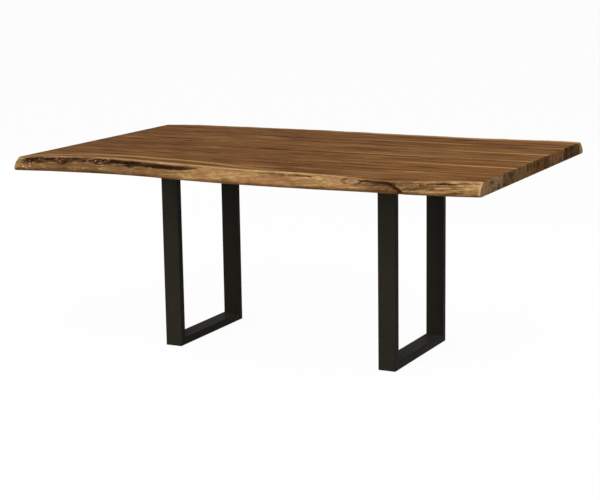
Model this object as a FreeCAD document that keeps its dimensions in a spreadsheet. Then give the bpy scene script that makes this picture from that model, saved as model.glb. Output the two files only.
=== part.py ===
import FreeCAD, Part
import math
import os
import re
import Sketcher

# A dining table. Six planks are edge-glued into a top whose two long sides keep the natural edge
# of the tree. Two U-shaped frames of rectangular steel tube carry it, each welded to a drilled
# plate that is bolted up into threaded inserts in the underside.
# The origin is on the floor under the middle of the top. +X runs along the top, +Y to its back.

SIZES = [
    ("overall_length", 1830, "top, sawn end to sawn end"),
    ("overall_width", 1219, "top, between the widest points of its two live edges"),
    ("overall_height", 762, "floor to the top face"),
    ("top_thickness", 48, "planks"),
    ("first_joint_place", 320, "centre line to the foremost glue joint"),
    ("second_plank_width", 150, "second plank from the front"),
    ("third_plank_width", 165, "third plank from the front"),
    ("fourth_plank_width", 180, "fourth plank from the front"),
    ("fifth_plank_width", 175, "fifth plank from the front"),
    ("sawn_arris", 2, "inner planks, rounding of the long edges of their sawn ends"),
    ("edge_reach", 150, "band in which the live edges wander, in from the overall width"),
    ("waist_height", 30, "live edge, underside to the hollow below the rim"),
    ("foot_height", 10, "live edge, underside to its lower arris"),
    ("toe_setback", 7, "live edge, underside's edge behind the lower arris"),
    ("dowel_diameter", 10, "beech dowel"),
    ("dowel_length", 60, "beech dowel"),
    ("dowel_count", 6, "dowels in each glue joint"),
    ("dowel_end_margin", 110, "sawn end to the first dowel"),
    ("dowel_glue_room", 1, "depth of a dowel hole past its dowel"),
    ("frame_place", 452, "centre line to the middle of a frame"),
    ("frame_depth", 490, "frame, front face to rear face"),
    ("tube_width", 70, "rectangular tube, broad side"),
    ("tube_thickness", 30, "rectangular tube, narrow side"),
    ("tube_wall", 3, "rectangular tube"),
    ("tube_corner", 3, "rectangular tube, outer corner radius"),
    ("plate_thickness", 6, "mounting plate"),
    ("plate_overhang", 60, "mounting plate past the frame at front and rear"),
    ("plate_margin", 5, "mounting plate past the washers at left and right"),
    ("plate_corner", 8, "mounting plate, corner radius"),
    ("spanner_room", 4, "washer to upright"),
    ("slot_travel", 8, "length of a slot past its width, for the wood's movement"),
    ("bolt_diameter", 8, "bolt, shank"),
    ("bolt_length", 30, "bolt, under its head"),
    ("bolt_head_height", 5.3, "bolt, hexagon head"),
    ("bolt_head_radius", 7.5, "bolt, centre to a corner of its head"),
    ("bolt_slot_room", 1, "slot wider than the bolt"),
    ("washer_diameter", 22, "washer"),
    ("washer_thickness", 2, "washer"),
    ("insert_diameter", 12, "threaded insert"),
    ("insert_length", 22, "threaded insert"),
    ("insert_hole_room", 3, "depth of an insert's hole past the insert"),
    ("fit_clearance", 0.2, "difference of diameters in a close fit"),
    ("pad_thickness", 2, "floor pad"),
    ("pad_width", 56, "floor pad, across the tube"),
    ("pad_length", 80, "floor pad, along the tube"),
    ("pad_inset", 14, "frame's face to the floor pad"),
    ("cut_overrun", 5, "how far a cut runs past the face it leaves by"),
]
NAMES = {name for name, value, note in SIZES}

# Live edges, station by station along the length. The columns are shares: place along the length,
# then how far the rim, the lower arris and the hollow between them stand in, as shares of edge_reach.
# The hollow is counted from the mean of rim and arris.
FRONT_EDGE_SHARES = [
    (-0.500, 0.36, 0.12, -0.06),
    (-0.470, 0.55, 0.17, 0.02),
    (-0.430, 0.76, 0.27, 0.10),
    (-0.383, 0.94, 0.32, 0.13),
    (-0.328, 0.97, 0.38, 0.14),
    (-0.262, 0.91, 0.40, 0.13),
    (-0.191, 0.76, 0.35, 0.06),
    (-0.109, 0.64, 0.21, 0.00),
    (-0.014, 0.49, 0.12, -0.03),
    (0.096, 0.44, 0.10, -0.03),
    (0.202, 0.38, 0.14, -0.02),
    (0.265, 0.22, 0.19, -0.02),
    (0.300, 0.06, 0.20, 0.00),
    (0.335, 0.00, 0.21, 0.00),
    (0.380, 0.14, 0.24, 0.00),
    (0.443, 0.52, 0.33, -0.04),
    (0.500, 0.66, 0.47, -0.04),
]
REAR_EDGE_SHARES = [
    (-0.500, 0.65, 0.36, -0.02),
    (-0.460, 0.48, 0.22, -0.02),
    (-0.400, 0.39, 0.13, 0.02),
    (-0.320, 0.37, 0.09, 0.04),
    (-0.230, 0.32, 0.10, 0.02),
    (-0.140, 0.28, 0.05, -0.02),
    (-0.033, 0.34, 0.06, -0.02),
    (0.082, 0.38, 0.13, 0.01),
    (0.191, 0.41, 0.16, 0.03),
    (0.300, 0.40, 0.12, 0.02),
    (0.390, 0.33, 0.05, -0.01),
    (0.455, 0.24, 0.00, -0.02),
    (0.500, 0.29, 0.03, -0.02),
]
# Rows of bolts along a mounting plate, as shares of the plate's length from its middle.
BOLT_ROW_SHARES = [-0.40, -0.14, 0.14, 0.40]
SIDES = (("left", "-"), ("right", "+"))

doc = FreeCAD.newDocument("live_edge_dining_table")
sheet = doc.addObject("Spreadsheet::Sheet", "Sheet")
for row, (name, value, note) in enumerate(SIZES, start=1):
    sheet.set(f"A{row}", note)
    sheet.set(f"B{row}", str(value))
    sheet.setAlias(f"B{row}", name)
doc.recompute()

# Sums of sheet names that more than one piece needs.
UNDERSIDE = "(overall_height - top_thickness)"
PLATE_LENGTH = "(frame_depth + 2 * plate_overhang)"
BOLT_COLUMN = "(tube_width / 2 + spanner_room + washer_diameter / 2)"
PLATE_HALF_WIDTH = f"({BOLT_COLUMN} + washer_diameter / 2 + plate_margin)"
PLATE_BOTTOM = f"({UNDERSIDE} - plate_thickness)"
DOWEL_SPAN = "(overall_length - 2 * dowel_end_margin)"
JOINTS = [
    "(-first_joint_place)",
    "(second_plank_width - first_joint_place)",
    "(second_plank_width + third_plank_width - first_joint_place)",
    "(second_plank_width + third_plank_width + fourth_plank_width - first_joint_place)",
    "(second_plank_width + third_plank_width + fourth_plank_width + fifth_plank_width"
    " - first_joint_place)",
]
BOLT_PLACES = [
    (f"({column} {BOLT_COLUMN})", f"({share} * {PLATE_LENGTH})")
    for column in ("-", "+")
    for share in BOLT_ROW_SHARES
]


def bound(text):
    """Writes a sum of the sheet's names as an expression."""
    return re.sub(r"[a-z_]+", lambda word: f"Sheet.{word[0]}" if word[0] in NAMES else word[0], text)


def measure(text):
    """Gives the present value of a sum of the sheet's names."""
    return float(sheet.evalExpression(bound(text)))


def place(piece, along="0", across="0", height="0", turn=None):
    """Stands a piece at a place that follows the sheet."""
    if turn:
        piece.Placement = FreeCAD.Placement(FreeCAD.Vector(), turn)
    for axis, text in (("x", along), ("y", across), ("z", height)):
        piece.setExpression(f"Placement.Base.{axis}", bound(text))


def new_body(name):
    """Starts a piece that is built up from sketches."""
    body = doc.addObject("PartDesign::Body", name)
    body.Label = name
    return body


def new_sketch(body, name, role, offset="0"):
    """Lays a sketch on one of the body's own planes, moved along the plane's normal."""
    sketch = body.newObject("Sketcher::SketchObject", f"{body.Name}_{name}")
    plane = next(feature for feature in body.Origin.OriginFeatures if feature.Role == role)
    sketch.AttachmentSupport = [(plane, "")]
    sketch.MapMode = "FlatFace"
    sketch.setExpression("AttachmentOffset.Base.z", bound(offset))
    return sketch


def fix_point(sketch, line, end, across, up):
    """Ties one point of a sketch to the sheet."""
    for kind, text in (("DistanceX", across), ("DistanceY", up)):
        index = sketch.addConstraint(Sketcher.Constraint(kind, line, end, measure(text)))
        sketch.setExpression(f"Constraints[{index}]", bound(text))


def draw_polygon(sketch, points):
    """Draws a closed outline of straight lines through points given as sums of sheet names."""
    corners = [FreeCAD.Vector(measure(across), measure(up), 0) for across, up in points]
    first = sketch.GeometryCount
    for index, corner in enumerate(corners):
        sketch.addGeometry(Part.LineSegment(corner, corners[(index + 1) % len(corners)]))
    for index, (across, up) in enumerate(points):
        following = first + (index + 1) % len(points)
        sketch.addConstraint(Sketcher.Constraint("Coincident", first + index, 2, following, 1))
        fix_point(sketch, first + index, 1, across, up)


def draw_rectangle(sketch, left, right, low, high):
    """Draws a rectangle between two places across and two places up."""
    draw_polygon(sketch, [(left, low), (right, low), (right, high), (left, high)])


def draw_circle(sketch, across, up, diameter):
    """Draws a circle whose middle and size follow the sheet."""
    middle = FreeCAD.Vector(measure(across), measure(up), 0)
    index = sketch.addGeometry(Part.Circle(middle, FreeCAD.Vector(0, 0, 1), measure(diameter) / 2))
    fix_point(sketch, index, 3, across, up)
    size = sketch.addConstraint(Sketcher.Constraint("Diameter", index, measure(diameter)))
    sketch.setExpression(f"Constraints[{size}]", bound(diameter))


def draw_slot(sketch, across, up, width, travel):
    """Draws a slot along the sketch's second axis: two half circles joined by tangent lines."""
    low, high = f"({up} - {travel} / 2)", f"({up} + {travel} / 2)"
    radius, middle = measure(width) / 2, measure(across)
    bottom, top = measure(low), measure(high)
    arcs = []
    for height, start in ((bottom, math.pi), (top, 0)):
        circle = Part.Circle(FreeCAD.Vector(middle, height, 0), FreeCAD.Vector(0, 0, 1), radius)
        arcs.append(sketch.addGeometry(Part.ArcOfCircle(circle, start, start + math.pi)))
    lines = []
    for side, start, end in ((radius, bottom, top), (-radius, top, bottom)):
        ends = [FreeCAD.Vector(middle + side, height, 0) for height in (start, end)]
        lines.append(sketch.addGeometry(Part.LineSegment(*ends)))
    sketch.addConstraint(Sketcher.Constraint("Tangent", arcs[0], 2, lines[0], 1))
    sketch.addConstraint(Sketcher.Constraint("Tangent", lines[0], 2, arcs[1], 1))
    sketch.addConstraint(Sketcher.Constraint("Tangent", arcs[1], 2, lines[1], 1))
    sketch.addConstraint(Sketcher.Constraint("Tangent", lines[1], 2, arcs[0], 1))
    fix_point(sketch, arcs[0], 3, across, low)
    fix_point(sketch, arcs[1], 3, across, high)
    size = sketch.addConstraint(Sketcher.Constraint("Diameter", arcs[0], measure(width)))
    sketch.setExpression(f"Constraints[{size}]", bound(width))


def extrude(body, kind, sketch, length, reverse=False, symmetric=False):
    """Adds a Pad or a Pocket of a sketch, with a length that follows the sheet."""
    feature = body.newObject(f"PartDesign::{kind}", f"{sketch.Name}_{kind.lower()}")
    feature.Profile = sketch
    feature.setExpression("Length", bound(length))
    feature.Reversed = reverse
    if symmetric:
        feature.SideType = "Symmetric"
    body.Tip = feature
    doc.recompute()
    return feature


def drill_dowel_holes(body, name, joint, reverse):
    """Bores a glue joint's row of dowel holes into one of its two planks."""
    before = body.Shape.Volume
    sketch = new_sketch(body, name, "XZ_Plane", f"-{joint}")
    draw_circle(sketch, f"-{DOWEL_SPAN} / 2", "top_thickness / 2", "dowel_diameter + fit_clearance")
    first = extrude(body, "Pocket", sketch, "dowel_length / 2 + dowel_glue_room", reverse)
    row = body.newObject("PartDesign::LinearPattern", f"{sketch.Name}_row")
    row.Originals = [first]
    row.Direction = (sketch, ["H_Axis"])
    row.setExpression("Length", bound(DOWEL_SPAN))
    row.setExpression("Occurrences", bound("dowel_count"))
    body.Tip = row
    doc.recompute()
    assert body.Shape.Volume < before, f"{body.Label}: the dowel holes cut nothing"


def drill_insert_holes(body, front, rear):
    """Bores the holes of the threaded inserts that reach into this plank, from its underside."""
    diameter = "insert_diameter + fit_clearance"
    low = measure(f"{front} - ({diameter}) / 2")
    high = measure(f"{rear} + ({diameter}) / 2")
    places = [(column, row) for column, row in BOLT_PLACES if low < measure(row) < high]
    if not places:
        return
    before = body.Shape.Volume
    sketch = new_sketch(body, "insert_holes", "XY_Plane")
    for side, sign in SIDES:
        for column, bolt_row in places:
            draw_circle(sketch, f"{sign}frame_place + {column}", bolt_row, diameter)
    extrude(body, "Pocket", sketch, "insert_length + insert_hole_room", reverse=True)
    assert body.Shape.Volume < before, f"{body.Label}: the insert holes cut nothing"


def round_corners(body, radius, axis):
    """Fillets the edges of a body that run along one axis: 0 for X, 1 for Y, 2 for Z."""
    edges = [
        f"Edge{number}"
        for number, edge in enumerate(body.Shape.Edges, start=1)
        if round(abs(edge.tangentAt(edge.FirstParameter)[axis]), 6) == 1
    ]
    before = body.Tip
    fillet = body.newObject("PartDesign::Fillet", f"{body.Name}_corners")
    fillet.Base = (before, edges)
    fillet.setExpression("Radius", bound(radius))
    body.Tip = fillet
    doc.recompute()


def live_edge_plank(name, sign, joint, stations):
    """An outer plank: straight at its glue joint, with the tree's own edge on its other side."""
    body = new_body(name)
    sections = []
    for number, (along, rim, foot, hollow) in enumerate(stations, start=1):
        sketch = new_sketch(body, f"section_{number}", "YZ_Plane", f"{along} * overall_length")
        waist = (rim + foot) / 2 + hollow
        draw_polygon(sketch, [
            (joint, "0"),
            (f"{sign}(overall_width / 2 - {foot} * edge_reach - toe_setback)", "0"),
            (f"{sign}(overall_width / 2 - {foot} * edge_reach)", "foot_height"),
            (f"{sign}(overall_width / 2 - {waist} * edge_reach)", "waist_height"),
            (f"{sign}(overall_width / 2 - {rim} * edge_reach)", "top_thickness"),
            (joint, "top_thickness"),
        ])
        sections.append(sketch)
    loft = body.newObject("PartDesign::AdditiveLoft", f"{name}_loft")
    loft.Profile = sections[0]
    loft.Sections = sections[1:]
    body.Tip = loft
    doc.recompute()
    return body


def inner_plank(name, front_joint, rear_joint):
    """A straight plank between two glue joints."""
    body = new_body(name)
    sketch = new_sketch(body, "section", "YZ_Plane")
    draw_rectangle(sketch, front_joint, rear_joint, "0", "top_thickness")
    extrude(body, "Pad", sketch, "overall_length", symmetric=True)
    round_corners(body, "sawn_arris", 1)
    return body


# The six planks, from front to back.
planks = [live_edge_plank("front_live_edge_plank", "-", JOINTS[0], FRONT_EDGE_SHARES)]
for number, name in enumerate(("second_plank", "third_plank", "fourth_plank", "fifth_plank")):
    planks.append(inner_plank(name, JOINTS[number], JOINTS[number + 1]))
planks.append(live_edge_plank("rear_live_edge_plank", "+", JOINTS[-1], REAR_EDGE_SHARES))
plank_sides = ["-overall_width / 2", *JOINTS, "overall_width / 2"]
for number, plank in enumerate(planks):
    if number > 0:
        drill_dowel_holes(plank, "front_dowels", JOINTS[number - 1], reverse=False)
    if number < len(JOINTS):
        drill_dowel_holes(plank, "rear_dowels", JOINTS[number], reverse=True)
    drill_insert_holes(plank, plank_sides[number], plank_sides[number + 1])
    place(plank, height=UNDERSIDE)


def cylinder(name, diameter, length):
    """A round bar whose diameter and length follow the sheet."""
    bar = doc.addObject("Part::Cylinder", name)
    bar.setExpression("Radius", bound(f"({diameter}) / 2"))
    bar.setExpression("Height", bound(length))
    return bar


def group(name, members):
    """Keeps like pieces together as one group of separate solids."""
    pieces = doc.addObject("Part::Compound", name)
    pieces.Label = name
    pieces.Links = members
    return pieces


# Dowels line up the planks in each glue joint, half in one plank and half in the next.
dowel_groups = []
backwards = FreeCAD.Rotation(FreeCAD.Vector(1, 0, 0), -90)
for number, joint in enumerate(JOINTS, start=1):
    dowels = []
    for index in range(int(measure("dowel_count"))):
        dowel = cylinder(f"dowel_{number}_{index + 1}", "dowel_diameter", "dowel_length")
        place(
            dowel,
            f"-{DOWEL_SPAN} / 2 + {index} * {DOWEL_SPAN} / (dowel_count - 1)",
            f"{joint} - dowel_length / 2",
            f"{UNDERSIDE} + top_thickness / 2",
            backwards,
        )
        dowels.append(dowel)
    dowel_groups.append(group(f"glue_joint_{number}_dowels", dowels))


def mitred_tube(name, outline, hollow, axis):
    """A length of rectangular tube, drawn from the side with its mitred ends, then hollowed."""
    body = new_body(name)
    side = new_sketch(body, "side", "YZ_Plane")
    draw_polygon(side, outline)
    extrude(body, "Pad", side, "tube_width", symmetric=True)
    round_corners(body, "tube_corner", axis)
    solid = body.Shape.Volume
    bore = new_sketch(body, "bore", "YZ_Plane")
    draw_polygon(bore, hollow)
    extrude(body, "Pocket", bore, "tube_width - 2 * tube_wall", symmetric=True)
    assert body.Shape.Volume < solid, f"{name}: the bore cut nothing"
    return body


def upright(name, sign):
    """One upright: square at the mounting plate, mitred at the floor."""
    face = f"{sign}frame_depth / 2"
    inward = "-" if sign == "+" else "+"
    top, foot = PLATE_BOTTOM, "pad_thickness"
    far_wall = "(tube_thickness - tube_wall)"
    outline = [
        (face, foot),
        (face, top),
        (f"{face} {inward} tube_thickness", top),
        (f"{face} {inward} tube_thickness", f"{foot} + tube_thickness"),
    ]
    hollow = [
        (f"{face} {inward} tube_wall", f"{foot} + tube_wall - cut_overrun"),
        (f"{face} {inward} tube_wall", f"{top} + cut_overrun"),
        (f"{face} {inward} {far_wall}", f"{top} + cut_overrun"),
        (f"{face} {inward} {far_wall}", f"{foot} + {far_wall} - cut_overrun"),
    ]
    return mitred_tube(name, outline, hollow, 2)


def bottom_bar(name):
    """The bar on the floor, mitred to an upright at both ends."""
    far_wall = "(tube_thickness - tube_wall)"
    low, high = "pad_thickness + tube_wall", f"pad_thickness + {far_wall}"
    outline = [
        ("-frame_depth / 2", "pad_thickness"),
        ("frame_depth / 2", "pad_thickness"),
        ("frame_depth / 2 - tube_thickness", "pad_thickness + tube_thickness"),
        ("tube_thickness - frame_depth / 2", "pad_thickness + tube_thickness"),
    ]
    hollow = [
        ("tube_wall - frame_depth / 2 - cut_overrun", low),
        ("frame_depth / 2 - tube_wall + cut_overrun", low),
        (f"frame_depth / 2 - {far_wall} + cut_overrun", high),
        (f"{far_wall} - frame_depth / 2 - cut_overrun", high),
    ]
    return mitred_tube(name, outline, hollow, 1)


def mounting_plate(name):
    """The plate across the top of a frame, slotted so that the wood can swell and shrink."""
    body = new_body(name)
    outline = new_sketch(body, "outline", "XY_Plane")
    draw_rectangle(
        outline,
        f"-{PLATE_HALF_WIDTH}",
        PLATE_HALF_WIDTH,
        f"-{PLATE_LENGTH} / 2",
        f"{PLATE_LENGTH} / 2",
    )
    extrude(body, "Pad", outline, "plate_thickness")
    round_corners(body, "plate_corner", 2)
    solid = body.Shape.Volume
    slots = new_sketch(body, "slots", "XY_Plane")
    for column, bolt_row in BOLT_PLACES:
        draw_slot(slots, column, bolt_row, "bolt_diameter + bolt_slot_room", "slot_travel")
    extrude(body, "Pocket", slots, "plate_thickness + cut_overrun", reverse=True)
    assert body.Shape.Volume < solid, f"{name}: the slots cut nothing"
    return body


def cut(name, base, tool):
    """Takes one shape out of another."""
    result = doc.addObject("Part::Cut", name)
    result.Base = base
    result.Tool = tool
    return result


def bolt(name, along, across):
    """A hexagon bolt that points up through a washer and a slot into its insert."""
    seat = f"{PLATE_BOTTOM} - washer_thickness"
    head = doc.addObject("Part::Prism", f"{name}_head")
    head.Polygon = 6
    head.setExpression("Circumradius", bound("bolt_head_radius"))
    head.setExpression("Height", bound("bolt_head_height"))
    place(head, along, across, f"{seat} - bolt_head_height")
    shank = cylinder(f"{name}_shank", "bolt_diameter", "bolt_length")
    place(shank, along, across, seat)
    whole = doc.addObject("Part::Fuse", name)
    whole.Base = head
    whole.Tool = shank
    return whole


def ring(name, along, across, height, diameter, length):
    """A round collar with the bolt's bore, such as a washer or a threaded insert."""
    outside = cylinder(f"{name}_outside", diameter, length)
    place(outside, along, across, height)
    bore = cylinder(f"{name}_bore", "bolt_diameter + fit_clearance", f"{length} + 2 * cut_overrun")
    place(bore, along, across, f"{height} - cut_overrun")
    return cut(name, outside, bore)


# The two frames, each with its plate, fasteners and floor pads.
frame_pieces = []
for side, sign in SIDES:
    tubes = [
        upright(f"{side}_front_upright", "-"),
        upright(f"{side}_rear_upright", "+"),
        bottom_bar(f"{side}_bottom_bar"),
    ]
    for tube in tubes:
        place(tube, f"{sign}frame_place")
    plate = mounting_plate(f"{side}_mounting_plate")
    place(plate, f"{sign}frame_place", height=PLATE_BOTTOM)
    bolts, washers, inserts = [], [], []
    for number, (column, bolt_row) in enumerate(BOLT_PLACES, start=1):
        along = f"{sign}frame_place + {column}"
        washer_seat = f"{PLATE_BOTTOM} - washer_thickness"
        bolts.append(bolt(f"{side}_bolt_{number}", along, bolt_row))
        washers.append(ring(
            f"{side}_washer_{number}", along, bolt_row, washer_seat, "washer_diameter", "washer_thickness"
        ))
        inserts.append(ring(
            f"{side}_insert_{number}", along, bolt_row, UNDERSIDE, "insert_diameter", "insert_length"
        ))
    pads = []
    pad_places = ("pad_inset - frame_depth / 2", "frame_depth / 2 - pad_inset - pad_length")
    for number, near in enumerate(pad_places, start=1):
        pad = doc.addObject("Part::Box", f"{side}_pad_{number}")
        pad.setExpression("Length", bound("pad_width"))
        pad.setExpression("Width", bound("pad_length"))
        pad.setExpression("Height", bound("pad_thickness"))
        place(pad, f"{sign}frame_place - pad_width / 2", near)
        pads.append(pad)
    frame_pieces += tubes + [
        plate,
        group(f"{side}_plate_bolts", bolts),
        group(f"{side}_plate_washers", washers),
        group(f"{side}_threaded_inserts", inserts),
        group(f"{side}_floor_pads", pads),
    ]

doc.recompute()
for item in doc.Objects:
    assert "Invalid" not in item.State and "Error" not in item.State, f"{item.Label}: {item.State}"
pieces = planks + dowel_groups + frame_pieces
for piece in pieces:
    assert not piece.Shape.isNull() and piece.Shape.isValid(), f"{piece.Label}: bad shape"

os.makedirs("parts", exist_ok=True)
for piece in pieces:
    piece.Shape.exportStep(f"parts/{piece.Label}.step")
    box = piece.Shape.BoundBox
    print(f"{piece.Label}: {len(piece.Shape.Solids)} solids, {piece.Shape.Volume:.0f} mm3, {box}")
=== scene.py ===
import math

import bpy
import numpy as np
from mathutils import Euler, Matrix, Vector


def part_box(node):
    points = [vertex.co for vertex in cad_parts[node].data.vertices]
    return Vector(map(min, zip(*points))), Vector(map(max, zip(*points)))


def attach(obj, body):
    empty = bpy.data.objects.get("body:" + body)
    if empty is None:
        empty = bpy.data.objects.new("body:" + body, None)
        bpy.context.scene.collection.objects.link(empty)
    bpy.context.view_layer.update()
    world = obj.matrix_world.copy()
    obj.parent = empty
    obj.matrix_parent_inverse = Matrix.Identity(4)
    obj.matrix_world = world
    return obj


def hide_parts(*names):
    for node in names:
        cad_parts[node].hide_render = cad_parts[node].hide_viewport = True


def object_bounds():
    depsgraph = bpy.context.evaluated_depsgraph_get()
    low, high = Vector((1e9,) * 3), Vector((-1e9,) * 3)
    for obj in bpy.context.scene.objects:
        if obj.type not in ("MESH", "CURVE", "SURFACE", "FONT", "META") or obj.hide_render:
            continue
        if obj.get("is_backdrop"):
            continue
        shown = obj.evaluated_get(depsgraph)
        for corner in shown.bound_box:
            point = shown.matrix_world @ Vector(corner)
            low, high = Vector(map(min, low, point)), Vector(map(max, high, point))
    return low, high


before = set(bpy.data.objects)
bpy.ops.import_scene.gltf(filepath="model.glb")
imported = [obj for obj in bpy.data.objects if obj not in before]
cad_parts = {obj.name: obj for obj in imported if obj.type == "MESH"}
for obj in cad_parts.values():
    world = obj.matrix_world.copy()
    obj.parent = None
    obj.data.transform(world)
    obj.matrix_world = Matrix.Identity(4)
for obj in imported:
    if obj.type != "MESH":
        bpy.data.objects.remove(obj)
cad_low, cad_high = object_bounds()

# Inner planks. Four straight hardwood boards, planed, glued edge to edge and oiled to a satin sheen.
# Their solids are already right, so each only gets wood that grew round a heart of its own.
ring_spacing = 0.0095
ring_unrest = 11.0
heart_wander = (0.0, 0.075, 0.05)
grain_bump = 0.00025
oil_sheen = 0.015


def colour(red, green, blue):
    """Turns a colour as a screen shows it, 0 to 255, into the linear colour that a shader takes."""
    shown = np.array([red, green, blue]) / 255
    linear = np.where(shown <= 0.04045, shown / 12.92, ((shown + 0.055) / 1.055) ** 2.4)
    return (*linear.tolist(), 1.0)


def add_node(tree, kind, sockets, **settings):
    """Adds a shader node. Each socket gets a constant, or a link from another node's output."""
    made = tree.nodes.new(kind)
    for name, value in settings.items():
        setattr(made, name, value)
    for name, value in sockets.items():
        if isinstance(value, bpy.types.NodeSocket):
            tree.links.new(value, made.inputs[name])
        else:
            made.inputs[name].default_value = value
    return made


def work_out(tree, operation, *values):
    """One step of arithmetic on numbers that change over the surface."""
    return add_node(tree, "ShaderNodeMath", dict(enumerate(values)), operation=operation).outputs[0]


def product(tree, first, *others):
    """Numbers that change over the surface, multiplied one after another."""
    for other in others:
        first = work_out(tree, "MULTIPLY", first, other)
    return first


def distance(tree, one, other):
    """How far two numbers lie apart: their difference without its sign."""
    return work_out(tree, "ABSOLUTE", work_out(tree, "SUBTRACT", one, other))


def work_out_place(tree, operation, *places):
    """One step of arithmetic on places, axis by axis."""
    sockets = dict(enumerate(places))
    return add_node(tree, "ShaderNodeVectorMath", sockets, operation=operation).outputs[0]


def place_on_object(tree):
    """The place of each point, in metres from the floor under the middle of the table."""
    return add_node(tree, "ShaderNodeTexCoord", {}).outputs["Object"]


def part_of(tree, place, axis):
    """One axis of a place or a direction."""
    return add_node(tree, "ShaderNodeSeparateXYZ", {0: place}).outputs[axis]


def facing(tree, axis):
    """How far the surface faces along an axis, from -1 to 1."""
    return part_of(tree, add_node(tree, "ShaderNodeNewGeometry", {}).outputs["Normal"], axis)


def fade(tree, value, start, end, low=0.0, high=1.0):
    """Carries a value from start..end over to low..high, with soft ends."""
    sockets = {"Value": value, "From Min": start, "From Max": end, "To Min": low, "To Max": high}
    return add_node(tree, "ShaderNodeMapRange", sockets, interpolation_type="SMOOTHSTEP").outputs[0]


def stretched_noise(tree, place, cells, detail, turn=0.0, swirl=0.0, output=0):
    """Noise with a given number of cells per metre along X, Y and Z, turned about Y and swirled."""
    sockets = {"Vector": place, "Rotation": (0.0, turn, 0.0)}
    turned = add_node(tree, "ShaderNodeMapping", sockets).outputs[0]
    scaled = add_node(tree, "ShaderNodeMapping", {"Vector": turned, "Scale": cells}).outputs[0]
    sockets = {"Vector": scaled, "Scale": 1.0, "Detail": detail, "Roughness": 0.58, "Distortion": swirl}
    return add_node(tree, "ShaderNodeTexNoise", sockets).outputs[output]


def ramp(tree, value, *stops):
    """Reads a colour from a scale of (place, colour) stops."""
    scale = add_node(tree, "ShaderNodeValToRGB", {"Fac": value})
    marks = scale.color_ramp.elements
    while len(marks) < len(stops):
        marks.new(0.5)
    for mark, (place, shade) in zip(marks, stops):
        mark.position = place
        mark.color = shade
    return scale.outputs["Color"]


def lay_over(tree, under, *layers):
    """Lays colours over one another, each by its share and in one of the Mix node's ways."""
    for mode, share, over in layers:
        sockets = {0: share, 6: under, 7: over}
        mix = add_node(tree, "ShaderNodeMix", sockets, data_type="RGBA", blend_type=mode)
        under = mix.outputs[2]
    return under


def start_group(name, inputs, outputs):
    """A node group with named sockets, each a Vector, a Float or a Color, and its inputs' values."""
    tree = bpy.data.node_groups.new(name, "ShaderNodeTree")
    for direction, sockets in (("INPUT", inputs), ("OUTPUT", outputs)):
        for label, kind in sockets.items():
            tree.interface.new_socket(label, in_out=direction, socket_type=f"NodeSocket{kind}")
    return tree, tree.nodes.new("NodeGroupInput").outputs


def growth_rings(tree, place, heart):
    """Rings from 0 to 1: a wave of the distance from a heart line, which wanders along X.

    Noise of that distance makes rings wide or narrow, and a power makes their dark part slim.
    """
    wander = stretched_noise(tree, place, (1.1, 2.2, 2.2), 2.0, output="Color")
    wander = work_out_place(tree, "SUBTRACT", wander, (0.5, 0.5, 0.5))
    wander = work_out_place(tree, "MULTIPLY", wander, heart_wander)
    outward = work_out_place(tree, "SUBTRACT", place, heart)
    outward = work_out_place(tree, "ADD", outward, wander)
    outward = work_out_place(tree, "MULTIPLY", outward, (0.0, 1.0, 1.0))
    radius = add_node(tree, "ShaderNodeVectorMath", {0: outward}, operation="LENGTH").outputs["Value"]
    sockets = {"W": radius, "Scale": 46.0, "Detail": 2.0}
    pace = add_node(tree, "ShaderNodeTexNoise", sockets, noise_dimensions="1D").outputs[0]
    phase = work_out(tree, "MULTIPLY", radius, 2 * math.pi / ring_spacing)
    phase = work_out(tree, "MULTIPLY_ADD", pace, ring_unrest, phase)
    ring = work_out(tree, "MULTIPLY_ADD", work_out(tree, "SINE", phase), 0.5, 0.5)
    return work_out(tree, "POWER", ring, 2.2)


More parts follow.
